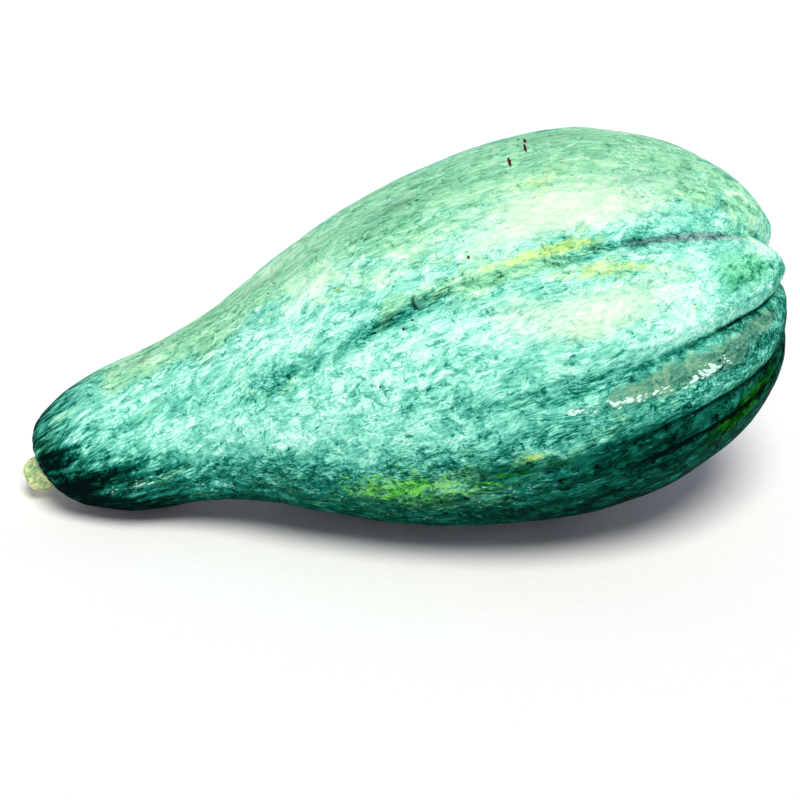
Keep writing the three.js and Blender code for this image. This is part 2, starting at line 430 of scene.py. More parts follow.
# Soft ovals on the skin: (along, angle, half length, half width in degrees, amount). A sixth
# value leans an oval, in degrees of angle per millimetre along.
# Paler and darker patches of the rind's tone, the darker ones with an amount below 0. Many
# paler ones are painted highlights on the lobes, neck and tips, and many darker ones painted
# shade round the stem end, on the lower side and at the blossom end.
TONE_AND_LIGHT_OVALS = [
    # the stem end
    (27, 64, 9, 9, 0.22), (32, 56, 12, 14, 0.11), (24, 42, 8, 10, -0.12), (12, 38, 7, 12, -0.07),
    (36, 36, 6, 5, -0.17), (47, 39, 9, 6, -0.19), (40, 20, 18, 4, -0.16), (48, 20, 8, 5, 0.08),
    (17, 6, 12, 22, -0.28), (19, -4, 10, 12, -0.24), (13, -8, 6, 10, -0.1),
    (40, -14, 26, 5, 0.12), (43, -18, 18, 12, 0.29),
    # the neck
    (92, 74, 16, 8, -0.05, 0.1), (62, 34, 26, 4, -0.12, 0.1), (52, 6, 20, 7, -0.22, 0.1),
    (60, -28, 16, 8, 0.12), (80, -30, 24, 10, 0.1),
    # the shoulder
    (145, 96, 20, 9, 0.12), (165, 68, 24, 9, 0.1), (128, 55, 12, 6, 0.06), (155, 58, 8, 5, 0.07),
    (160, 60, 16, 7, 0.07, 0.1), (145, 48, 10, 5, 0.17), (150, 46, 12, 5, -0.05, 0.1),
    (172, 53, 12, 8, 0.05, 0.1), (130, 37, 7, 4.5, -0.19), (166, 23, 10, 5, -0.08),
    (116, 14, 9, 5, -0.13), (147, 10, 10, 5, 0.13), (168, -2.5, 9, 3.5, 0.18),
    (176, -9, 8, 4, 0.1), (115, -18, 50, 8, 0.06), (128, 47, 26, 7, 0.02, 0.1),
    (160, 20, 50, 12, 0.02),
    # the middle of the bulb
    (230, 88, 30, 8, -0.06), (205, 76, 22, 6, -0.08), (215, 71, 10, 5, -0.08),
    (182, 61, 9, 5, -0.1), (203, 61, 12, 5, 0.14, 0.1), (202, 43.5, 8, 4, -0.24),
    (190, 32, 34, 9, 0.08), (185, 24, 10, 5, -0.07), (215, 17, 8, 4, -0.14),
    (224, 12, 22, 5, -0.15, 0.3), (217, 3, 10, 4, 0.19), (207, -17, 10, 4, 0.22),
    (236, -13, 14, 5, -0.12), (221, -19, 10, 5, -0.05),
    # the bulb's fattest part
    (285, 66, 60, 12, 0.12), (241, 56, 12, 4, 0.1), (274, 46.5, 10, 3, 0.1),
    (299, 46, 9, 3, -0.07), (279, 31.5, 14, 5, -0.08), (250, 29, 12, 5, 0.1),
    (241, 11, 9, 4, 0.09), (280, 8, 34, 6, -0.08), (264, -3, 10, 4, -0.17),
    (274, -6, 12, 4, 0.09), (252, -8, 10, 3, 0.1), (264, -8.5, 24, 2.4, 0.22),
    (280, -16, 36, 8, -0.035), (290, -12, 10, 4, -0.07), (290, -8, 36, 5, -0.04),
    # the lobes' tips
    (317, 55, 8, 3, 0.08), (330, 64, 60, 16, -0.06), (336, 56, 7, 3, -0.06),
    (337, 43.5, 12, 3.5, 0.14), (300, 33, 50, 8, 0.03), (332, 21, 14, 6, 0.13),
    (301, -17, 16, 5, -0.07), (330, -20, 70, 10, -0.16), (310, -38, 60, 14, -0.1),
    (314, -38, 26, 8, 0.07), (318, -38, 20, 8, 0.04),
    # the blossom end
    (383, 42, 6, 6, 0.25), (384, 48, 6, 5, 0.14), (345, 34, 12, 5, 0.15), (366, 33, 17, 8, -0.2),
    (378, 40, 8, 5, 0.2), (346, 27, 9, 5, 0.08), (388, 30, 8, 30, -0.15), (352, 2, 32, 7, -0.2),
    (374, -4, 10, 6, 0.12), (345, -10, 22, 5, 0.14), (385, -10, 16, 22, -0.2),
    (385, -12, 5, 5, -0.3),
    # the back and the belly
    (110, 120, 60, 14, 0.12), (270, -46, 60, 12, -0.12), (280, 210, 60, 14, 0.14),
    (300, 160, 60, 12, 0.16),
]
# Patches of other colours, and the gathered pale dabs.
ZONE_OVALS = {
    # pale wax bloom on the lobes' crowns, with a painted highlight on them
    "bloom_and_highlight": [
        (168, 67, 20, 9, 0.5), (252, 56, 22, 4, 0.45), (255, 36, 16, 8, 0.35),
        (285, 158, 50, 12, 0.35), (288, 25, 18, 4, 0.3), (290, 65, 44, 9, 0.8, 0.02),
        (300, 31, 44, 8, 0.75, 0.02), (304, 60, 36, 5, 0.5), (330, 20, 12, 5, 0.2),
        (334, 40, 16, 4, 0.35),
    ],
    "yellow": [
        (42, 76, 18, 7, 0.12, 0.1), (75, 81, 34, 8, 0.24, 0.1), (90, 118, 50, 12, 0.4),
        (172, 60, 20, 5, 0.5, 0.1), (222, 71, 26, 5, 0.2, 0.2), (250, -9.2, 14, 2.2, 0.75),
        (272, 50.5, 36, 2, 0.68, 0.03), (285, 75, 34, 7, 0.5, 0.2), (290, 53, 20, 2.4, 0.42),
        (292, 44, 24, 2.6, 0.5, 0.03), (305, 42, 26, 2.4, 0.4, 0.03), (318, 40, 24, 2.2, 0.45),
        (350, 6.5, 20, 1.2, 0.5, 0.06),
    ],
    "green": [
        (60, -10, 40, 5, 0.2), (150, 63, 16, 6, 0.4, 0.1), (186, -20, 40, 12, 0.6),
        (205, -26, 16, 8, 0.1), (228, 64, 28, 8, 0.45, 0.1), (248, 48.3, 40, 4, 0.8, 0.03),
        (335, 68, 46, 12, 0.25), (382, 66, 14, 14, 0.45),
    ],
    "lime": [(183, -18, 44, 12, 0.99), (188, -75, 60, 24, 0.5), (226, -18, 10, 3, 0.35)],
    "jade": [(205, -4, 40, 4, 0.3), (366, 34, 18, 9, 1)],
    "moss": [(24, -20, 12, 10, 0.4), (240, -14, 18, 4, 0.62), (356, -25, 26, 6, 1.1, 0.1)],
    "olive": [
        (75, 86, 44, 9, 0.36, 0.1), (120, 92, 60, 8, 0.25), (150, 84, 36, 7, 0.4),
        (215, 84, 34, 8, 0.5, 0.1), (300, 99, 46, 8, 0.5), (328, 4.8, 50, 5.2, 1, 0.05),
        (354, 1.5, 14, 4, 0.5), (374, 9, 10, 4, 0.6),
    ],
    # strips along the first furrow's crease are painted shadow; the two broad ones on top near
    # the blossom end are a slate-grey tint
    "slate_and_crease_shadow": [
        (202, 44.5, 30, 2.4, 0.3, 0.06), (316, 46.5, 16, 1.8, 0.5), (326, 72, 44, 12, 0.45, 0.05),
        (334, 50, 24, 1.4, 0.9), (360, 50.3, 18, 2.2, 1), (385, 75, 12, 30, 0.1),
    ],
    "flecked": [
        (34, 22, 9, 4, 0.9, 0.2), (52, -11, 18, 4, 1.2, 0.1), (60, 60, 50, 22, 0.3),
        (110, -24, 60, 7, 0.38), (140, 52, 50, 10, 0.3), (170, -20, 90, 10, 0.3),
        (190, -40, 60, 6, 0.32), (200, 28, 60, 16, 0.3), (210, 150, 120, 40, 0.25),
        # the narrow strips close under the olive strip, from 275 along on, are pale flecks and
        # painted glints
        (240, -24, 50, 7, 0.24), (275, 3, 24, 1.5, 1.5), (306, 1.6, 18, 1.4, 1.1),
        (339, 2.2, 18, 2.1, 1.7, 0.1), (350, 22, 30, 6, 0.4),
    ],
}
# Painted shadow in dark bands beside the furrows, by the furrow's number: (along, angle from its
# middle, half length, half width in degrees, amount). They end more abruptly than the ovals.
FURROW_SHADOW_BANDS = {
    0: [(140, 0, 28, 4.5, 0.2), (200, -0.5, 30, 3, 0.31), (220, 1.2, 10, 2.8, 0.11),
        (242, 1.5, 18, 2.8, 0.13), (300, -0.3, 50, 2.4, 0.19), (345, 0, 40, 1, 0.05),
        (362, 0.5, 16, 1.9, 0.1)],
    1: [(275, 0, 55, 3, 0.18), (356, 0, 38, 1.8, 0.19), (370, -1.5, 14, 3.4, 0.18)],
    2: [(325, 0, 50, 1.2, 0.18)],
    3: [(335, 0, 40, 1, 0.34)],
    4: [(320, 0, 70, 3, 0.2)],
    5: [(310, 0, 80, 3, 0.2)],
    6: [(310, 0, 80, 3, 0.25)],
    7: [(300, 0, 90, 2.6, 0.3)],
    8: [(300, 0, 90, 2.6, 0.3)],
}

# Painted shade by level, which is the height round the fruit in degrees: the belly's dark tone,
# and how much paler the rind gets from one level to another up the lit front, then a little
# darker on top.
BELLY_SHADE_TONE = 0.15
LEVEL_SHADE_STEPS = [(0.18, -56, -16), (0.46, -22, 14), (-0.09, 45, 85)]
# Painted shade darkens the stem end, where the stem sits in a hollow. The shade reaches
# further along the neck's underside.
STEM_SHADE = 0.50
STEM_SHADE_REACH = 30.0
STEM_SHADE_EXTRA_REACH = 26.0
STEM_SHADE_LEVELS = (-5, 40)
STEM_SHADE_FADE = (0.3, 1.6)  # where it begins to fade and is gone, as shares of the reach
TOP_GREEN = 0.75
TOP_GREEN_LEVELS = (52, 84)
TOP_GREEN_BEGINS = (20, 60)
TOP_GREEN_ENDS = (350, 392)
CALM_ON_TOP = 0.25
CALM_LEVELS = (50, 82)
CALM_BEGINS = (110, 200)
CALM_IN_BLOOM_AND_HIGHLIGHT = 0.30
CORK_EDGE = (7.0, 11.5)  # distances from the blossom scar between which its cork ends
TIP_BEGINS = (345, 385)
STROKE_SLANT = 0.42  # how steeply the strokes climb at the stem end
STROKE_SLANT_REACH = 200.0


def ovals(places, spots):
    """The total of some soft ovals on the skin."""
    value = np.zeros_like(places.angle)
    for along, angle, length, width, amount, *rest in spots:
        lean = rest[0] if rest else 0.0
        away = places.along - along
        sideways = angle_between(places.angle, angle + lean * away)
        value += amount * bell(away, length) * bell(sideways, width)
    return value


def furrow_shadow_bands(places):
    """The total of the painted shadow bands beside the furrows."""
    value = np.zeros_like(places.angle)
    for number, bands in FURROW_SHADOW_BANDS.items():
        from_middle = places.from_furrow(FURROWS[number])
        for along, offset, length, width, amount in bands:
            lengthwise = ((places.along - along) / length) ** 4
            sideways = np.abs((from_middle - offset) / width) ** 3
            value += amount * np.exp(-lengthwise - sideways)
    return value * places.near_scar_fade


def tone(places):
    """How pale the rind is, 0 nearly black and 1 nearly white, painted shade and highlights
    included.
    """
    value = BELLY_SHADE_TONE + ovals(places, TONE_AND_LIGHT_OVALS)
    for amount, low, high in LEVEL_SHADE_STEPS:
        value = value + amount * smoothstep(places.level, low, high)
    return value - STEM_SHADE * stem_end(places) - furrow_shadow_bands(places)


def stem_end(places):
    """1 round the stem and fading along the neck."""
    under = 1.0 - smoothstep(places.level, *STEM_SHADE_LEVELS)
    reach = STEM_SHADE_REACH + STEM_SHADE_EXTRA_REACH * under
    return 1.0 - smoothstep(places.along / reach, *STEM_SHADE_FADE)


def greenness(places):
    """How far the rind turns from teal to leaf green, towards the top of the fruit."""
    top = TOP_GREEN * smoothstep(places.level, *TOP_GREEN_LEVELS)
    top = top * smoothstep(places.along, *TOP_GREEN_BEGINS)
    top = top * (1.0 - smoothstep(places.along, *TOP_GREEN_ENDS))
    return top + ovals(places, ZONE_OVALS["green"])


def cork_zone(places):
    """1 on the blossom scar, which is corky, and 0 off it."""
    return np.where(places.far, 1.0 - smoothstep(places.from_scar, *CORK_EDGE), 0.0)


def contrast(places):
    """How strongly the patterns show: less on top and in the pale bloom with its painted
    highlight.
    """
    on_top = smoothstep(places.level, *CALM_LEVELS) * smoothstep(places.along, *CALM_BEGINS)
    in_bloom_and_highlight = np.minimum(ovals(places, ZONE_OVALS["bloom_and_highlight"]), 1.0)
    return 1.0 - CALM_ON_TOP * on_top - CALM_IN_BLOOM_AND_HIGHLIGHT * in_bloom_and_highlight


def stroke_places(places):
    """Places for the rind's patterns. Their strokes climb the sides of the neck a little."""
    settled = 1.0 - np.exp(-places.along / STROKE_SLANT_REACH)
    climb = STROKE_SLANT * STROKE_SLANT_REACH * settled
    return places.straight - climb[..., None] * np.array([0.0, 0.0, 1.0])


def add_zones(fruit, places):
    """Gives every mesh point the values that the rind's material reads."""
    values = {name: ovals(places, spots) for name, spots in ZONE_OVALS.items()}
    values |= {
        "grain": places.straight * MM,
        "strokes": stroke_places(places) * MM,
        "rays": places.rays * MM,
        "tone": tone(places),
        "green": greenness(places),
        "stem_end": stem_end(places),
        "tip": smoothstep(places.along + 0 * places.angle, *TIP_BEGINS),
        "crease": crease_depth(places),
        "contrast": contrast(places),
        "scar": cork_zone(places),
    }
    for name, grid in values.items():
        add_values(fruit, name, with_poles(grid))


# ---- Materials ----

class Nodes:
    """Short ways to add shader nodes to one material. Most of them return an output socket."""

    def __init__(self, name):
        self.material = bpy.data.materials.new(name)
        self.material.use_nodes = True
        self.tree = self.material.node_tree
        self.shader = self.tree.nodes["Principled BSDF"]

    def add(self, kind, inputs, **settings):
        """Adds a node, with each socket in `inputs` linked or set to a plain value."""
        made = self.tree.nodes.new("ShaderNode" + kind)
        for key, value in settings.items():
            setattr(made, key, value)
        for key, value in inputs.items():
            self.set(made.inputs[key], value)
        return made

    def set(self, socket, value):
        """Links a socket, or sets a plain value."""
        if isinstance(value, bpy.types.NodeSocket):
            self.tree.links.new(value, socket)
        else:
            socket.default_value = value

    def attribute(self, name, output="Fac"):
        return self.add("Attribute", {}, attribute_name=name).outputs[output]

    def math(self, operation, a, b=0.0, clamp=False):
        return self.add("Math", {0: a, 1: b}, operation=operation, use_clamp=clamp).outputs[0]

    def times(self, a, b):
        return self.math("MULTIPLY", a, b)

    def total(self, *values):
        result = values[0]
        for value in values[1:]:
            result = self.math("ADD", result, value)
        return result

    def opposite(self, value):
        """1 where the value is 0, and 0 where it is 1."""
        return self.math("SUBTRACT", 1.0, value)

    def vector_math(self, operation, *vectors, output="Vector"):
        inputs = dict(enumerate(vectors))
        return self.add("VectorMath", inputs, operation=operation).outputs[output]

    def stretch(self, vector, x=1.0, y=1.0, z=1.0):
        """Multiplies the coordinates. A pattern grows longer along those with less than 1."""
        return self.vector_math("MULTIPLY", vector, (x, y, z))

    def noise(self, vector, size, detail=3.0, roughness=0.5, distortion=0.0, output="Fac"):
        """Noise with features of about this size in millimetres."""
        inputs = {"Vector": vector, "Scale": 1.0 / (size * MM), "Detail": detail,
                  "Roughness": roughness, "Distortion": distortion}
        return self.add("TexNoise", inputs).outputs[output]

    def wander(self, vector, size, reach):
        """The same coordinates pushed about smoothly, up to about `reach` mm, so streaks wind."""
        push = self.noise(vector, size, detail=1.0, output="Color")
        centred = self.vector_math("SUBTRACT", push, (0.5, 0.5, 0.5))
        return self.vector_math("MULTIPLY_ADD", centred, (reach * MM,) * 3, vector)

    def step(self, value, low, high):
        """0 below `low`, 1 above `high`, and smooth between."""
        inputs = {"Value": value, "From Min": low, "From Max": high}
        return self.add("MapRange", inputs, interpolation_type="SMOOTHSTEP").outputs["Result"]

    def around(self, value, amount):
        """A noise turned into a number around 0, at most about half of `amount` away."""
        return self.times(self.math("SUBTRACT", value, 0.5), amount)

    def crisp(self, value, softness, amount=1.0):
        """The same with nearly all of the noise at one end or the other."""
        return self.around(self.step(value, 0.5 - softness, 0.5 + softness), amount)

    def line(self, field, middle, half_width, core=0.004):
        """1 where a noise crosses a value, and 0 elsewhere."""
        away = self.math("ABSOLUTE", self.math("SUBTRACT", field, middle))
        return self.opposite(self.step(away, core, half_width))

    def threads(self, vector, size):
        """Thin, broken, winding lines."""
        field = self.noise(vector, size, detail=4.0, roughness=0.6, distortion=1.5)
        broken = self.step(self.noise(vector, size * 0.8, detail=2.0), 0.48, 0.62)
        return self.times(self.line(field, 0.5, 0.022), broken)

    def dabs(self, vector, size, amount, rough, reach=0.42, fray=1.2, softness=0.07):
        """Small pale dabs: more and larger ones where `amount` is higher."""
        cells = self.add("TexVoronoi", {"Vector": vector, "Scale": 1.0 / (size * MM)})
        inside = self.math("SUBTRACT", self.times(amount, reach), cells.outputs["Distance"])
        return self.step(self.total(inside, self.around(rough, fray)), 0.0, softness)

    def mark(self, vector, oval):
        """1 inside a small oval on the fruit: (along, angle, half length, half height)."""
        along, angle, half_length, half_height = oval
        radius = radius_at(along) * MM
        turn = math.radians(angle)
        centre = (along * MM, radius * math.cos(turn), radius * math.sin(turn))
        radii = (half_length * MM, half_height * MM, half_height * MM)
        away = self.vector_math("SUBTRACT", vector, centre)
        scaled = self.vector_math("DIVIDE", away, radii)
        return self.step(self.vector_math("LENGTH", scaled, output="Value"), *MARK_EDGE)

    def mix(self, share, a, b):
        inputs = {"Factor": share, "A": a, "B": b}
        return self.add("Mix", inputs, data_type="RGBA").outputs["Result"]

    def ramp(self, value, stops):
        """Colours by value: a list of (place, sRGB colour)."""
        made = self.add("ValToRGB", {"Fac": value})
        elements = made.color_ramp.elements
        while len(elements) < len(stops):
            elements.new(0.5)
        for element, (place, colour) in zip(elements, stops):
            element.position = place
            element.color = rgb(*colour)
        return made.outputs["Color"]

    def bump(self, height, distance, **under):
        """Bumps of this height in millimetres. `Normal` may give bumps under them."""
        inputs = {"Height": height, "Distance": distance * MM, **under}
        return self.add("Bump", inputs).outputs["Normal"]

    def surface(self, **inputs):
        """Sets the shader's own sockets, by their names with _ for each space."""
        for name, value in inputs.items():
            self.set(self.shader.inputs[name.replace("_", " ")], value)
        return self.material


def rgb(red, green, blue):
    """An sRGB colour from 0 to 255 as the linear colour that Blender uses."""
    channels = [c / 255.0 for c in (red, green, blue)]
    linear = [c / 12.92 if c <= 0.04045 else ((c + 0.055) / 1.055) ** 2.4 for c in channels]
    return (*linear, 1.0)


# Colours by tone, from dark to pale, as sRGB values from 0 to 255.
TEAL_TONES = [
    (0, (0, 24, 19)), (0.12, (2, 52, 42)), (0.25, (12, 83, 68)), (0.38, (22, 114, 96)),
    (0.5, (48, 151, 130)), (0.62, (92, 190, 166)), (0.74, (130, 223, 198)),
    (0.86, (167, 246, 223)), (0.98, (220, 255, 245)),
]
SCAR_TONES = [(0.3, (60, 52, 34)), (0.5, (134, 122, 84)), (0.68, (188, 176, 134))]
FROST = rgb(220, 255, 241)
# Near black: painted shadow in the creases and round the stem, and the curled scar's dark edge.
SHADOW_AND_SCAR_BLACK = rgb(3, 20, 18)
NICK_BROWN = rgb(84, 26, 30)
CURL_GREEN = rgb(150, 214, 176)

# Noises over the rind: how much they are squeezed along the strokes, size in millimetres,
# detail, roughness and distortion.
RIND_NOISES = {
    "strokes": (0.12, 3.0, 4.0, 0.6, 0.0),
    "streaks": (0.3, 2.4, 5.0, 0.7, 0.0),
    "hatch": (0.2, 0.8, 2.0, 0.5, 0.0),
    "mottle": (0.62, 9.0, 8.0, 0.7, 0.8),
    "patches": (0.62, 10.0, 5.0, 0.6, 0.7),
    "clouds": (0.62, 20.0, 6.0, 0.65, 1.0),
    "fine": (0.62, 1.0, 2.0, 0.6, 0.0),
    "specks": (0.9, 4.0, 2.0, 0.5, 0.6),
    "dapples": (0.62, 4.5, 5.0, 0.62, 0.5),
}
STROKE_WANDER_SIZE = 30.0
STROKE_WANDER = 8.0
RAY_STRETCH = 0.11
RAY_SIZE = 2.6
THREAD_STRETCH = 0.62
THREAD_SIZE = 7.0
DAB_STRETCH = 0.42
DAB_SIZE = 1.8
DAB_AMOUNT = 1.4
MARK_SHAKE_SIZE = 3.0
MARK_SHAKE = 1.0
MARK_EDGE = (1.3, 0.8)  # from outside a mark to inside, in shares of its half size

# Where the tone counts as pale, dark and black, and how strong the fine strokes are.
PALE_TONE = (0.42, 0.68)
DARK_TONE = (0.55, 0.25)
BLACK_TONE = (-0.30, 0.0)
STROKES_IN_DARK = 0.07
STROKES_IN_PALE = 0.1
STROKES_BETWEEN = 0.25
# Where patches, specks and flecks come in, as values of their noise.
PATCH_EDGE = (0.53, 0.58)
SPECK_EDGE = (0.635, 0.665)
FLECK_EDGE = (0.6, 0.68)
# How much paler the patterns make the rind, or darker where the weight is below 0. `creases` is
# painted shade in the creases.
WEIGHTS = dict(mottle=0.15, strokes=0.10, patches=0.10, patch_lines=-0.12, specks=-0.20,
               threads=-0.24, flecks=0.32, neck_rays=0.46, tip_rays=0.20, creases=-0.14)

# The zones of other colours: the zone, the pattern that frays its edge and by how much, the
# values between which it comes in, and its colours by tone. Later ones cover earlier ones.
RIND_ZONES = [
    ("green", "clouds", 2.4, 0.1, 0.6,
     [(0, (4, 16, 6)), (0.25, (26, 92, 58)), (0.45, (84, 158, 118)), (0.6, (128, 205, 160)),
      (0.72, (157, 231, 184)), (0.86, (196, 249, 210)), (1, (238, 255, 234))]),
    ("slate_and_crease_shadow", "streaks", 0.9, 0.25, 0.85,
     [(0.2, (24, 60, 62)), (0.5, (92, 140, 138)), (0.8, (170, 208, 198))]),
    ("olive", "mottle", 1.8, 0.3, 0.8,
     [(0.2, (18, 68, 58)), (0.5, (72, 140, 120)), (0.85, (138, 184, 148))]),
    # pale bloom and painted highlight
    ("bloom_and_highlight", "streaks", 0.9, 0.15, 0.9,
     [(0.5, (166, 222, 184)), (0.75, (208, 243, 210)), (0.95, (240, 255, 234))]),
    ("yellow", "streaks", 1.6, 0.35, 0.85,
     [(0.15, (44, 84, 22)), (0.45, (122, 180, 84)), (0.65, (178, 224, 124)),
      (0.9, (222, 247, 166))]),
    ("jade", "streaks", 1.6, 0.3, 0.9,
     [(0.2, (4, 70, 48)), (0.45, (44, 142, 104)), (0.65, (98, 206, 156)),
      (0.85, (150, 242, 196))]),
    ("moss", "streaks", 1.6, 0.35, 0.75,
     [(0, (0, 24, 4)), (0.22, (4, 72, 12)), (0.5, (40, 128, 30)), (0.8, (84, 190, 96))]),
    ("lime", "dapples", 2.8, 0.62, 1.15,
     [(0.06, (8, 92, 42)), (0.26, (36, 160, 60)), (0.46, (134, 226, 102))]),
]

# Small old nicks in the rind: (along, angle, half length along, half height round the fruit).
NICKS = [
    (272, 87, 0.7, 5.0), (281, 94, 0.7, 5.6), (282, 100, 0.7, 3.4), (278, 97, 0.5, 0.7),
    (279, 103, 0.6, 1.2), (243, 54.5, 0.6, 0.9), (205, 39, 0.6, 1.0), (210, 41, 0.9, 0.6),
    (187, 23, 0.5, 0.5), (169, 80.5, 0.6, 0.6), (140.5, 77, 0.5, 0.7),
    (240, 128, 0.8, 2.6), (318, 176, 0.8, 2.0), (120, 160, 0.9, 0.9),
]
# A curled scar: an oval with a dark edge round the near side of a hollow.
CURL = (213.8, 46.2, 2.6, 3.6)
CURL_HOLLOW = (215.2, 46.2, 2.2, 3.4)

BARK_TONES = [(0.38, (132, 186, 142)), (0.49, (200, 222, 152)), (0.6, (242, 244, 184))]
CUT_TONES = [(0.3, (206, 208, 118)), (0.5, (238, 240, 166)), (0.7, (250, 252, 206))]
STEM_FOOT_GREEN = rgb(132, 178, 128)
FLOOR_TONES = [(0.3, (251, 251, 252)), (0.7, (255, 255, 255))]


def rind_patterns(n):
    """The noises that the rind's colours are made of."""
    winding = n.wander(n.attribute("strokes", "Vector"), STROKE_WANDER_SIZE, STROKE_WANDER)
    pattern = {"winding": winding}
    for name, (squeeze, size, detail, roughness, distortion) in RIND_NOISES.items():
        squeezed = n.stretch(winding, x=squeeze)
        pattern[name] = n.noise(squeezed, size, detail, roughness, distortion)
    rays = n.stretch(n.attribute("rays", "Vector"), x=RAY_STRETCH)
    pattern["rays"] = n.noise(rays, RAY_SIZE, detail=4.0, roughness=0.6, distortion=0.3)
    pattern["threads"] = n.threads(n.stretch(winding, x=THREAD_STRETCH), THREAD_SIZE)
    return pattern


def stroke_strength(n, pale, dark):
    """Fine strokes show most in the middle tones, and least in the dark."""
    middle = n.opposite(n.total(pale, dark))
    more_between = n.times(middle, STROKES_BETWEEN - STROKES_IN_DARK)
    more_in_pale = n.times(pale, STROKES_IN_PALE - STROKES_IN_DARK)
    return n.total(more_between, more_in_pale, STROKES_IN_DARK)


def unevenness(n, tone, pattern):
    """What the strokes, blotches, specks and threads add to the tone."""
    pale = n.step(tone, *PALE_TONE)
    dark = n.step(tone, *DARK_TONE)
    strength = stroke_strength(n, pale, dark)
    flecks = n.times(n.step(pattern["streaks"], *FLECK_EDGE), dark)
    flecks = n.times(flecks, n.step(tone, *BLACK_TONE))
    return n.total(
        n.crisp(pattern["mottle"], 0.08, WEIGHTS["mottle"]),
        n.crisp(pattern["strokes"], 0.10, WEIGHTS["strokes"]),
        n.times(n.crisp(pattern["streaks"], 0.10), strength),
        n.times(n.crisp(pattern["hatch"], 0.08), strength),
        n.times(n.step(pattern["patches"], *PATCH_EDGE), WEIGHTS["patches"]),
        n.times(n.line(pattern["patches"], PATCH_EDGE[0], 0.018), WEIGHTS["patch_lines"]),
        n.times(n.step(pattern["specks"], *SPECK_EDGE), WEIGHTS["specks"]),
        n.times(pattern["threads"], WEIGHTS["threads"]),
        n.times(flecks, WEIGHTS["flecks"]),
    )


def rind_shade(n, pattern):
    """How pale the rind is at a point: its tone there, all the patterns and painted crease shade.
    """
    tone = n.attribute("tone")
    uneven = unevenness(n, tone, pattern)
    rays = n.crisp(pattern["rays"], 0.08)
    ray_weight = n.total(n.times(n.attribute("stem_end"), WEIGHTS["neck_rays"]),
                         n.times(n.attribute("tip"), WEIGHTS["tip_rays"]))
    return n.total(
        tone,
        n.times(uneven, n.attribute("contrast")),
        n.times(rays, ray_weight),
        n.times(n.attribute("crease"), WEIGHTS["creases"]),
    )


def rind_zones(n, shade, pattern):
    """The rind's colour: teal green, and other colours in its zones."""
    colour = n.ramp(shade, TEAL_TONES)
    for zone, name, spread, low, high, tones in RIND_ZONES:
        ragged = n.total(n.attribute(zone), n.around(pattern[name], spread))
        colour = n.mix(n.step(ragged, low, high), colour, n.ramp(shade, tones))
    return colour


def add_dabs(n, colour, pattern):
    """Pale dabs in gathered strips and patches, fainter where the rind is dark, painted shade
    included.
    """
    gathered = n.times(n.attribute("flecked"), n.step(pattern["mottle"], 0.40, 0.62))
    long = n.stretch(pattern["winding"], x=DAB_STRETCH)
    dabs = n.dabs(long, DAB_SIZE, n.times(gathered, DAB_AMOUNT), pattern["fine"])
    dabs = n.times(dabs, n.step(gathered, 0.15, 0.35))
    fullness = n.total(0.6, n.times(n.step(n.attribute("tone"), 0.3, 0.55), 0.3))
    return n.mix(n.times(dabs, fullness), colour, FROST)


def add_black_shadow(n, colour, shade, pattern):
    """Nearly black painted shadow in the creases, and where the shade falls below 0."""
    creased = n.total(n.attribute("crease"), n.around(pattern["streaks"], 1.2))
    black_shadow = n.math("MAXIMUM", n.step(creased, 0.9, 1.6), n.step(shade, 0.0, -0.2))
    return n.mix(black_shadow, colour, SHADOW_AND_SCAR_BLACK)


def add_cork(n, colour, pattern):
    """The corky blossom scar."""
    zone = n.attribute("scar")
    tone = n.total(pattern["fine"], n.around(pattern["mottle"], 0.6), n.around(zone, 0.35))
    edge = n.step(n.total(zone, n.around(pattern["fine"], 0.9)), 0.35, 0.75)
    return n.mix(edge, colour, n.ramp(tone, SCAR_TONES))


def add_old_marks(n, colour):
    """The curled scar and the nicks, each with a slightly shaken edge."""
    shaken = n.wander(n.attribute("grain", "Vector"), MARK_SHAKE_SIZE, MARK_SHAKE)
    inside = n.mark(shaken, CURL_HOLLOW)
    edge = n.math("SUBTRACT", n.mark(shaken, CURL), inside, clamp=True)
    colour = n.mix(n.times(edge, 0.8), colour, SHADOW_AND_SCAR_BLACK)
    colour = n.mix(n.times(inside, 0.2), colour, CURL_GREEN)
    nicks = 0.0
    for nick in NICKS:
        nicks = n.math("MAXIMUM", n.mark(shaken, nick), nicks)
    return n.mix(nicks, colour, NICK_BROWN)


def rind_material():
    n = Nodes("rind")
    pattern = rind_patterns(n)
    shade = rind_shade(n, pattern)
    colour = rind_zones(n, shade, pattern)
    colour = add_dabs(n, colour, pattern)
    colour = add_black_shadow(n, colour, shade, pattern)
    colour = add_cork(n, colour, pattern)
    colour = add_old_marks(n, colour)
    roughness = n.total(n.around(pattern["mottle"], 0.35), 0.5)
    normal = n.bump(pattern["mottle"], 0.8, Normal=n.bump(pattern["fine"], 0.25))
    return n.surface(Base_Color=colour, Roughness=roughness, Normal=normal,
                     IOR=1.1, Specular_IOR_Level=0.03)


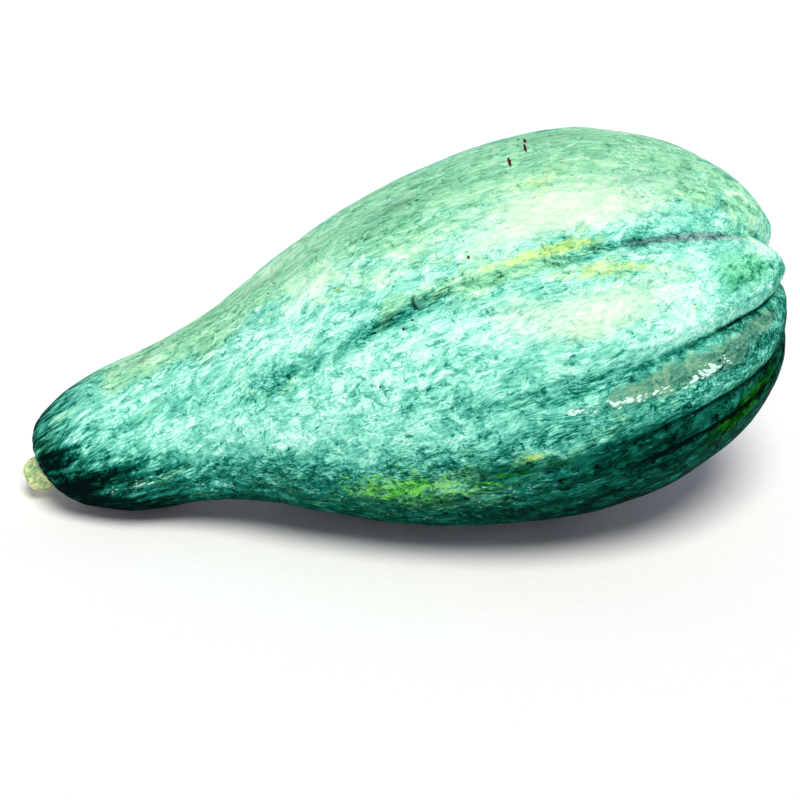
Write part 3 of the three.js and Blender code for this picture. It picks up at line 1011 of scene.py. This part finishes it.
def stem_material():
    n = Nodes("stem_cork")
    grain = n.attribute("grain", "Vector")
    fibres = n.noise(n.stretch(grain, z=0.22), 1.1, detail=4.0, roughness=0.65)
    blotches = n.noise(grain, 4.5, detail=4.0, roughness=0.6, distortion=0.8)
    pores = n.noise(grain, 0.7, detail=2.0, roughness=0.6)
    bark = n.ramp(n.total(blotches, n.around(fibres, 0.6)), BARK_TONES)
    green = n.step(n.total(n.attribute("foot"), n.around(fibres, 1.4)), 0.6, 1.2)
    bark = n.mix(green, bark, STEM_FOOT_GREEN)
    face = n.ramp(n.total(fibres, n.around(pores, 0.5)), CUT_TONES)
    colour = n.mix(n.step(n.attribute("cut_face"), 0.1, 0.7), bark, face)
    roughness = n.total(n.around(blotches, 0.3), 0.8)
    normal = n.bump(pores, 0.3, Normal=n.bump(fibres, 0.6))
    return n.surface(Base_Color=colour, Roughness=roughness, Normal=normal,
                     Specular_IOR_Level=0.1)


def floor_material():
    n = Nodes("floor")
    place = n.add("TexCoord", {}).outputs["Object"]
    tooth = n.noise(place, 4.0, detail=4.0, roughness=0.6)
    return n.surface(Base_Color=n.ramp(tooth, FLOOR_TONES), Roughness=0.9,
                     Specular_IOR_Level=0.2)


# ---- The pieces ----

def make_fruit(places, offset):
    lift = lobe_tip_height(places) - furrow_depth(places) - crease_depth(places)
    lift = lift + lumps(places) + neck_ribs(places) + stem_dimple(places) + blossom_scar(places)
    points = with_poles(skin_points(places, lift)) + offset
    points[:, 2] = np.maximum(points[:, 2], 0.0)
    fruit = mesh_object("squash_fruit", points, wrapped_faces(RINGS - 1, SEGMENTS))
    bake_map(fruit.data, RINGS - 1, SEGMENTS)
    add_zones(fruit, places)
    fruit.data.materials.append(rind_material())
    return fruit


def cad_offset(places):
    """What brings the worked-out skin, without its relief, to where the CAD part has it."""
    plain = lobe_tip_height(places) - furrow_depth(places)
    points = skin_points(places, plain).reshape(-1, 3)
    low, high = (np.array(corner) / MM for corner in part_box("fruit"))
    middle = (low + high) / 2 - (points.min(0) + points.max(0)) / 2
    ground = points[:, 2].min() + BELLY_FLAT_DEPTH
    return np.array([middle[0], middle[1], -ground])


BARK_RADII = (5.5, 8.5)  # the cut face inside them, the bark outside
BARK_LUMPS = dict(height=0.55, size=5.0)
FISSURES = dict(depth=0.9, size=3.2, width=0.22, ring=9.0, squeeze=0.25, lost_at_face=0.6)
CORNERS = dict(count=5, height=0.5, turn=0.7)
FACE_DEPTHS = (1.2, 0.1)
FACE_LUMPS = dict(height=0.4, size=3.0, shift=40.0)
FACE_SLOPE = 0.10
PITH = dict(depth=1.5, radius=3.2)
GROOVE = dict(depth=0.35, radius=5.6, width=0.7)
CUT_FACE_DEPTHS = (1.4, 0.3)
CUT_FACE_RADII = (5.5, 9.0)
FOOT_HEIGHT = 5.0  # how far up the stub is green


def stem_grid():
    """Radius, height and turn of the stub's mesh points, before its relief."""
    profile = [
        (0, -STEM_SEAT_DEPTH), (STEM_BASE_RADIUS - 1, -STEM_SEAT_DEPTH), (STEM_BASE_RADIUS, 0),
        (STEM_WAIST_RADIUS, STEM_WAIST_HEIGHT), (STEM_TIP_RADIUS, STEM_HEIGHT - 1.8),
        (STEM_TIP_RADIUS - 1.0, STEM_HEIGHT - 0.3), (STEM_TIP_RADIUS - 2.4, STEM_HEIGHT),
        (0, STEM_HEIGHT),
    ]
    knots = np.array(profile, float)
    travelled = travelled_along(knots)
    wanted = np.linspace(0.0, travelled[-1], STEM_RINGS + 1)[1:-1]
    radius, height = (np.interp(wanted, travelled, column)[:, None] for column in knots.T)
    turn = np.linspace(0.0, 2 * math.pi, STEM_SEGMENTS, endpoint=False)[None]
    return np.broadcast_arrays(radius, height, turn)


def below_top(height, depths):
    """0 further than the first depth below the stub's top, and 1 above the second."""
    return smoothstep(height, STEM_HEIGHT - depths[0], STEM_HEIGHT - depths[1])


def bark_relief(local, height, turn):
    """Lumps, five soft corners and lengthwise fissures, shallower at the cut face."""
    around = turned(FISSURES["ring"], turn, height * FISSURES["squeeze"])
    cracks = bell(noise_at(around, FISSURES["size"], 2), FISSURES["width"])
    depth = FISSURES["depth"] * (1 - FISSURES["lost_at_face"] * below_top(height, FACE_DEPTHS))
    corners = CORNERS["height"] * np.cos(turn * CORNERS["count"] + CORNERS["turn"])
    return BARK_LUMPS["height"] * noise_at(local, BARK_LUMPS["size"]) + corners - depth * cracks


def face_relief(local, radius, turn):
    """A rough, slanting cut with a sunken pith and a groove round it."""
    pith = PITH["depth"] * bell(radius, PITH["radius"])
    groove = GROOVE["depth"] * bell(radius - GROOVE["radius"], GROOVE["width"])
    rough = FACE_LUMPS["height"] * noise_at(local + FACE_LUMPS["shift"], FACE_LUMPS["size"])
    return rough + FACE_SLOPE * radius * np.cos(turn) - pith - groove


def stem_relief(radius, height, turn):
    """Radius and height of the stub's mesh points with its relief."""
    local = turned(radius, turn, height)
    outwards = smoothstep(radius, *BARK_RADII) * bark_relief(local, height, turn)
    upwards = below_top(height, FACE_DEPTHS) * face_relief(local, radius, turn)
    return radius + outwards, height + upwards


def make_stem(offset):
    """The corky stub, turned about its own axis and leaning down a little."""
    radius, height, turn = stem_grid()
    wide, tall = stem_relief(radius, height, turn)
    local = turned(wide, turn, tall)
    direction, _, up = axis_frame(np.array(0.0))
    outwards = unit(-direction - STEM_TILT * up)
    side = unit(np.cross(up, outwards))
    above = np.cross(outwards, side)
    points = with_poles(local) @ np.array([side, above, outwards]) + axis_point(0.0) + offset
    stem = mesh_object("squash_stem", points, wrapped_faces(STEM_RINGS - 1, STEM_SEGMENTS))
    bake_map(stem.data, STEM_RINGS - 1, STEM_SEGMENTS)
    add_values(stem, "grain", with_poles(local) * MM)
    face = below_top(height, CUT_FACE_DEPTHS) * (1 - smoothstep(radius, *CUT_FACE_RADII))
    add_values(stem, "cut_face", with_poles(face))
    add_values(stem, "foot", with_poles(1 - smoothstep(height, 0.0, FOOT_HEIGHT)))
    stem.data.materials.append(stem_material())
    return stem


# ---- Stage, light and camera ----

FLOOR_RADIUS = 3000.0  # flat as far as this
FLOOR_RIM_RADIUS = 2500.0
FLOOR_SEGMENTS = 96
FLOOR_RINGS = 16
CAMERA_AZIMUTH = math.radians(-3.0)
CAMERA_ELEVATION = math.radians(30.0)
CAMERA_DISTANCE = 1.4019
CAMERA_TARGET = Vector((0.0012, 0.0, 0.0592))
CAMERA_LENS = 120.0
CAMERA_SENSOR = 36.0
KEY_FROM = (0.12, -0.60, 1.25)
KEY_SOFTNESS = math.radians(26.0)
KEY_STRENGTH = 2.88
KEY_COLOUR = (1.0, 0.99, 0.90)
SKY_COLOUR = (0.62, 0.58, 1.0, 1.0)
SKY_STRENGTH = 0.22


def make_floor():
    """A flat floor whose far rim curves up into a backdrop all the way round."""
    rise = np.linspace(0.0, math.pi / 2, FLOOR_RINGS)[:, None]
    turn = np.linspace(0.0, 2 * math.pi, FLOOR_SEGMENTS, endpoint=False)[None]
    radius = FLOOR_RADIUS + FLOOR_RIM_RADIUS * np.sin(rise)
    height = FLOOR_RIM_RADIUS * (1.0 - np.cos(rise))
    points = np.vstack([np.zeros((1, 3)), turned(radius, turn, height).reshape(-1, 3)])
    faces = wrapped_faces(FLOOR_RINGS, FLOOR_SEGMENTS, closed=False)
    floor = mesh_object("floor", points, faces)
    floor.data.materials.append(floor_material())
    return floor


def aim(made, place, target):
    """Puts an object at a place, looking at a target."""
    made.location = place
    made.rotation_euler = (Vector(target) - Vector(place)).to_track_quat("-Z", "Y").to_euler()


def make_camera():
    back = Vector((math.sin(CAMERA_AZIMUTH) * math.cos(CAMERA_ELEVATION),
                   -math.cos(CAMERA_AZIMUTH) * math.cos(CAMERA_ELEVATION),
                   math.sin(CAMERA_ELEVATION)))
    camera = add_object("camera", bpy.data.cameras.new("camera"))
    camera.data.lens = CAMERA_LENS
    camera.data.sensor_width = CAMERA_SENSOR
    aim(camera, CAMERA_TARGET + back * CAMERA_DISTANCE, CAMERA_TARGET)
    bpy.context.scene.camera = camera


def make_key_light():
    """One wide, soft light from above and a little to the front."""
    lamp = bpy.data.lights.new("key", "SUN")
    lamp.angle = KEY_SOFTNESS
    lamp.energy = KEY_STRENGTH
    lamp.color = KEY_COLOUR
    aim(add_object("key", lamp), KEY_FROM, (0.0, 0.0, 0.0))


def make_world():
    world = bpy.data.worlds.new("studio")
    world.use_nodes = True
    background = world.node_tree.nodes["Background"]
    background.inputs["Color"].default_value = SKY_COLOUR
    background.inputs["Strength"].default_value = SKY_STRENGTH
    bpy.context.scene.world = world


make_camera()
places = Places()
offset = cad_offset(places)
fruit = make_fruit(places, offset)
stem = make_stem(offset)

for piece, node, slot in ((fruit, "fruit", "rind"), (stem, "stem", "stem_cork")):
    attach(piece, "root")
    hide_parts(node)

make_floor()
make_world()
make_key_light()
bpy.context.scene.view_settings.view_transform = "Standard"
